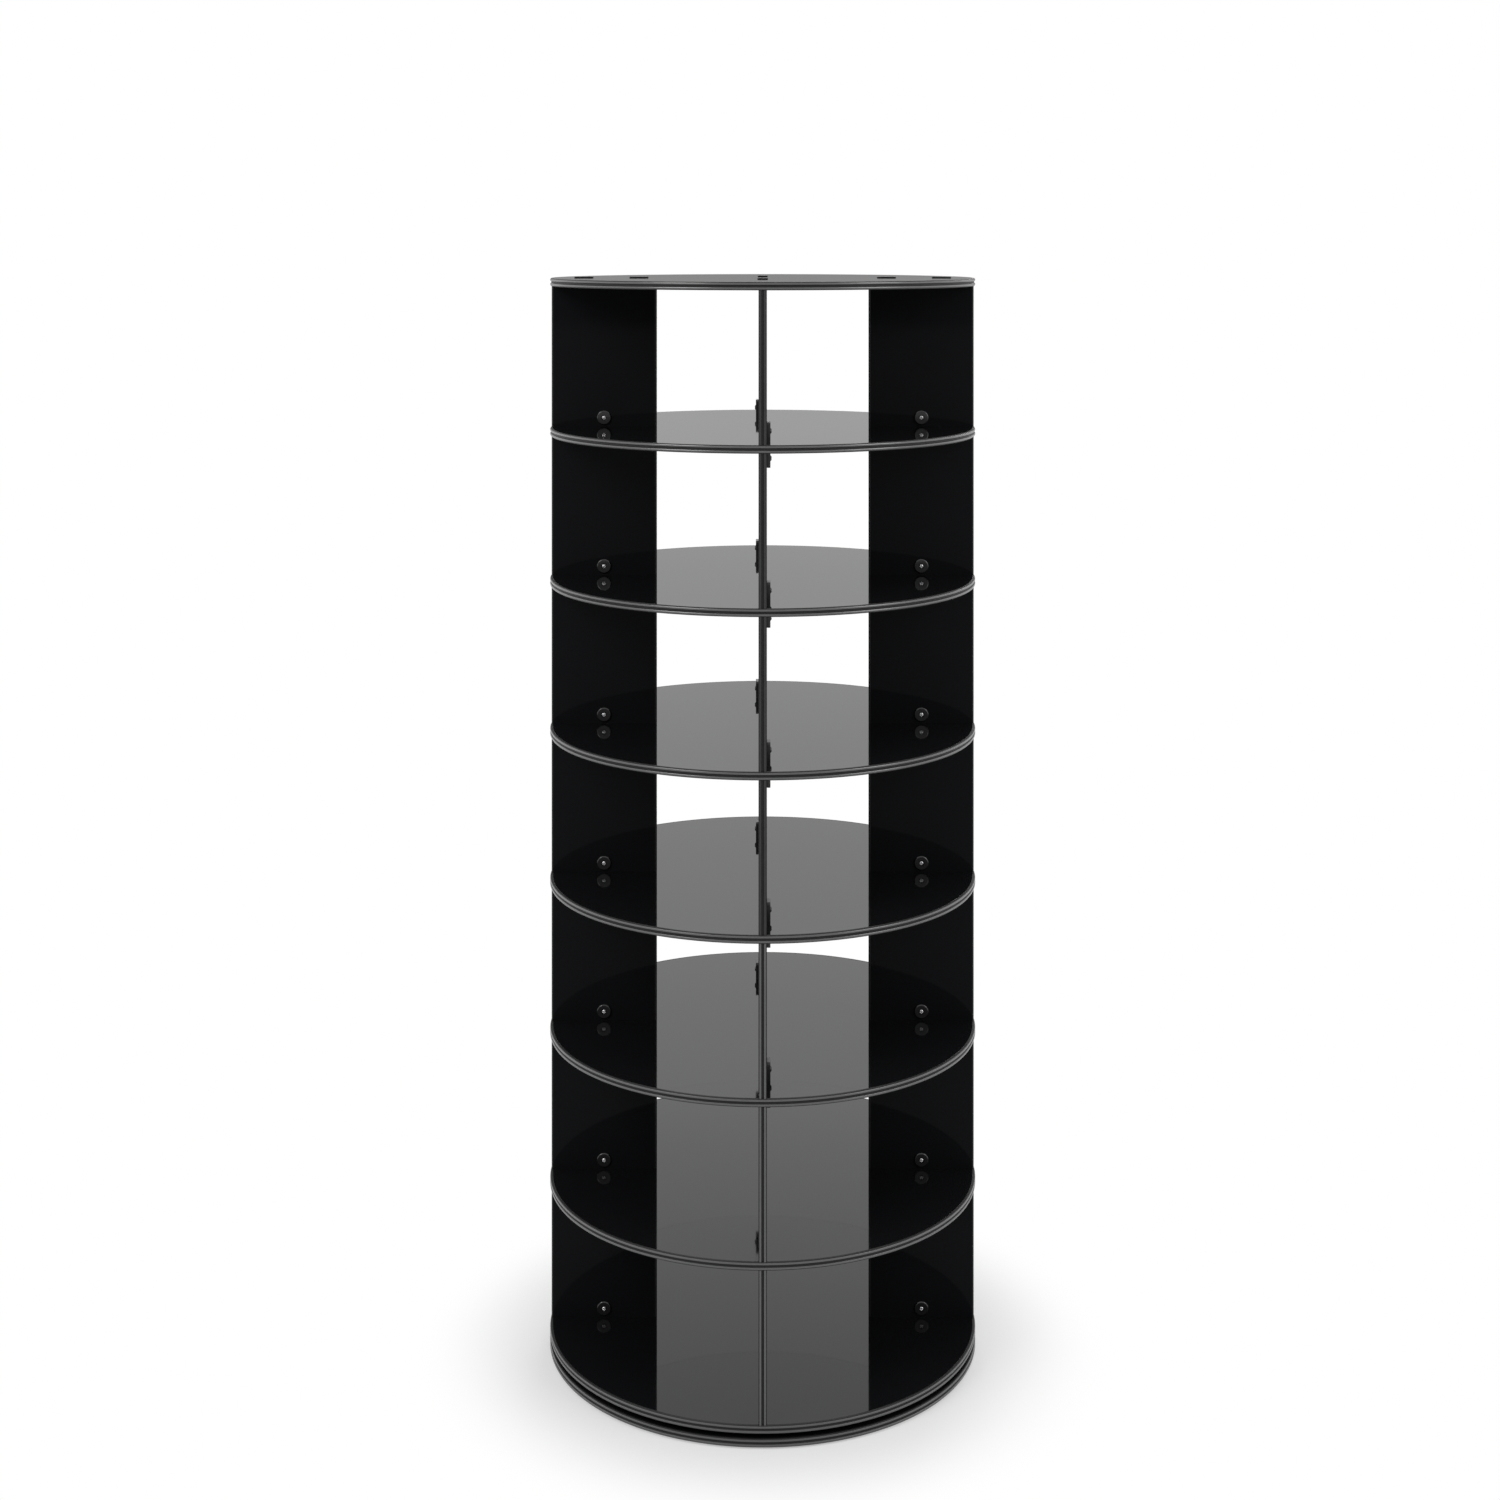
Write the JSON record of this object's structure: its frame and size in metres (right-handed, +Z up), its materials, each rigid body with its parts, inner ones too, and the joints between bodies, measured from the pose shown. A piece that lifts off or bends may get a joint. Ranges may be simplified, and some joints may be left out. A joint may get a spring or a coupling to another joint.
{
  "type": "rotating shoe tower",
  "caption": "Free-standing tower of round gloss shelves on upright boards that turns on a ball-bearing base, with open shoe compartments at the front and back.",
  "frame": {"origin": "on the floor, at the middle of the round base", "axes": "+Z up along the axis the tower turns about, -Y towards the user, +X to the user's right"},
  "size_m": [0.4999, 0.5, 1.2512],
  "materials": {
    "gloss_board": "high-gloss black lacquered board",
    "edge_trim": "satin charcoal edge trim",
    "plate_metal": "satin black paint",
    "cap_plastic": "matt black moulded plastic",
    "race_metal": "zinc-plated steel",
    "ball_steel": "polished steel",
    "cage_plastic": "moulded nylon",
    "pad_rubber": "matt black rubber"
  },
  "bodies": {
    "base": {"base_pads": "pad_rubber", "base_disc": "gloss_board", "bearing_outer_race": "race_metal"},
    "ball_cage": {"bearing_balls": "ball_steel", "bearing_ball_cage": "cage_plastic"},
    "tower": {"bottom_shelf": "gloss_board", "shelf_1": "gloss_board", "shelf_2": "gloss_board", "shelf_3": "gloss_board", "shelf_4": "gloss_board", "shelf_5": "gloss_board", "shelf_6": "gloss_board", "top_panel": "gloss_board", "divider_1": "gloss_board", "left_panel_1": "gloss_board", "right_panel_1": "gloss_board", "divider_2": "gloss_board", "left_panel_2": "gloss_board", "right_panel_2": "gloss_board", "divider_3": "gloss_board", "left_panel_3": "gloss_board", "right_panel_3": "gloss_board", "divider_4": "gloss_board", "left_panel_4": "gloss_board", "right_panel_4": "gloss_board", "divider_5": "gloss_board", "left_panel_5": "gloss_board", "right_panel_5": "gloss_board", "divider_6": "gloss_board", "left_panel_6": "gloss_board", "right_panel_6": "gloss_board", "divider_7": "gloss_board", "left_panel_7": "gloss_board", "right_panel_7": "gloss_board", "divider_trims_1": "edge_trim", "left_panel_trims_1": "edge_trim", "right_panel_trims_1": "edge_trim", "divider_trims_2": "edge_trim", "left_panel_trims_2": "edge_trim", "right_panel_trims_2": "edge_trim", "divider_trims_3": "edge_trim", "left_panel_trims_3": "edge_trim", "right_panel_trims_3": "edge_trim", "divider_trims_4": "edge_trim", "left_panel_trims_4": "edge_trim", "right_panel_trims_4": "edge_trim", "divider_trims_5": "edge_trim", "left_panel_trims_5": "edge_trim", "right_panel_trims_5": "edge_trim", "divider_trims_6": "edge_trim", "left_panel_trims_6": "edge_trim", "right_panel_trims_6": "edge_trim", "divider_trims_7": "edge_trim", "left_panel_trims_7": "edge_trim", "right_panel_trims_7": "edge_trim", "divider_joint_plates": "plate_metal", "top_panel_caps": "cap_plastic", "bearing_inner_race": "race_metal"}
  },
  "joints": [
    {"name": "tower_spin", "type": "hinge", "parent": "base", "child": "tower", "pos_m": [0, 0, 0.01325], "axis": [0, 0, 1], "continuous": true},
    {"name": "cage_spin", "type": "hinge", "parent": "base", "child": "ball_cage", "pos_m": [0, 0, 0.01325], "axis": [0, 0, 1], "continuous": true}
  ],
  "couplings": [
    {"joint": "cage_spin", "follows": "tower_spin", "ratio": 0.5}
  ]
}
